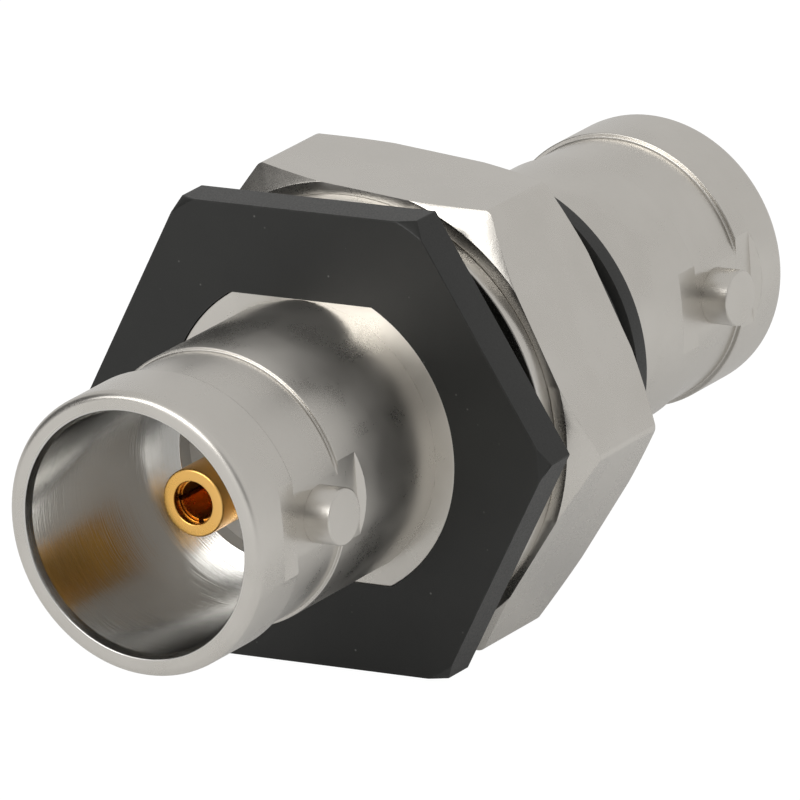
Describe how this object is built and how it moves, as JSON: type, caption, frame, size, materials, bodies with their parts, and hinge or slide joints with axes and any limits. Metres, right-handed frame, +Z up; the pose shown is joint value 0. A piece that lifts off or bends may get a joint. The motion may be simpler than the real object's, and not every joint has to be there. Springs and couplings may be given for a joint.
{
  "type": "bnc bulkhead feedthrough connector",
  "caption": "Coaxial feedthrough with a bayonet jack at each end, held in an insulating hex-headed bush with a panel nut and washer.",
  "frame": {"origin": "on the connector's axis, in the plane of the panel seat, which is the back face of the bush's hexagonal head", "axes": "+Y along the axis from the front jack to the rear jack, +X along the bayonet studs, +Z up through the flats of the head"},
  "size_m": [0.018, 0.033, 0.016],
  "materials": {
    "nickel_plate": "satin",
    "black_plastic": "satin",
    "gold_plate": "polished",
    "white_dielectric": "satin"
  },
  "bodies": {
    "connector": {"front_shell": "nickel_plate", "rear_shell": "nickel_plate", "insulating_bush": "black_plastic", "front_insulator": "white_dielectric", "rear_insulator": "white_dielectric", "front_contact": "gold_plate", "rear_contact": "gold_plate", "front_contact_hood": "gold_plate", "rear_contact_hood": "gold_plate"},
    "washer": {"washer": "nickel_plate"},
    "nut": {"hex_nut": "nickel_plate"}
  },
  "joints": [
    {"name": "nut_travel", "type": "slide", "parent": "connector", "child": "washer", "axis": [0, 1, 0], "range_m": [-0.00098, 0.006]},
    {"name": "nut_turn", "type": "hinge", "parent": "washer", "child": "nut", "pos_m": [0, 0.004, 0], "axis": [0, 1, 0], "continuous": true}
  ],
  "couplings": [
    {"joint": "nut_turn", "follows": "nut_travel", "rad_per_m": 6283.2}
  ]
}
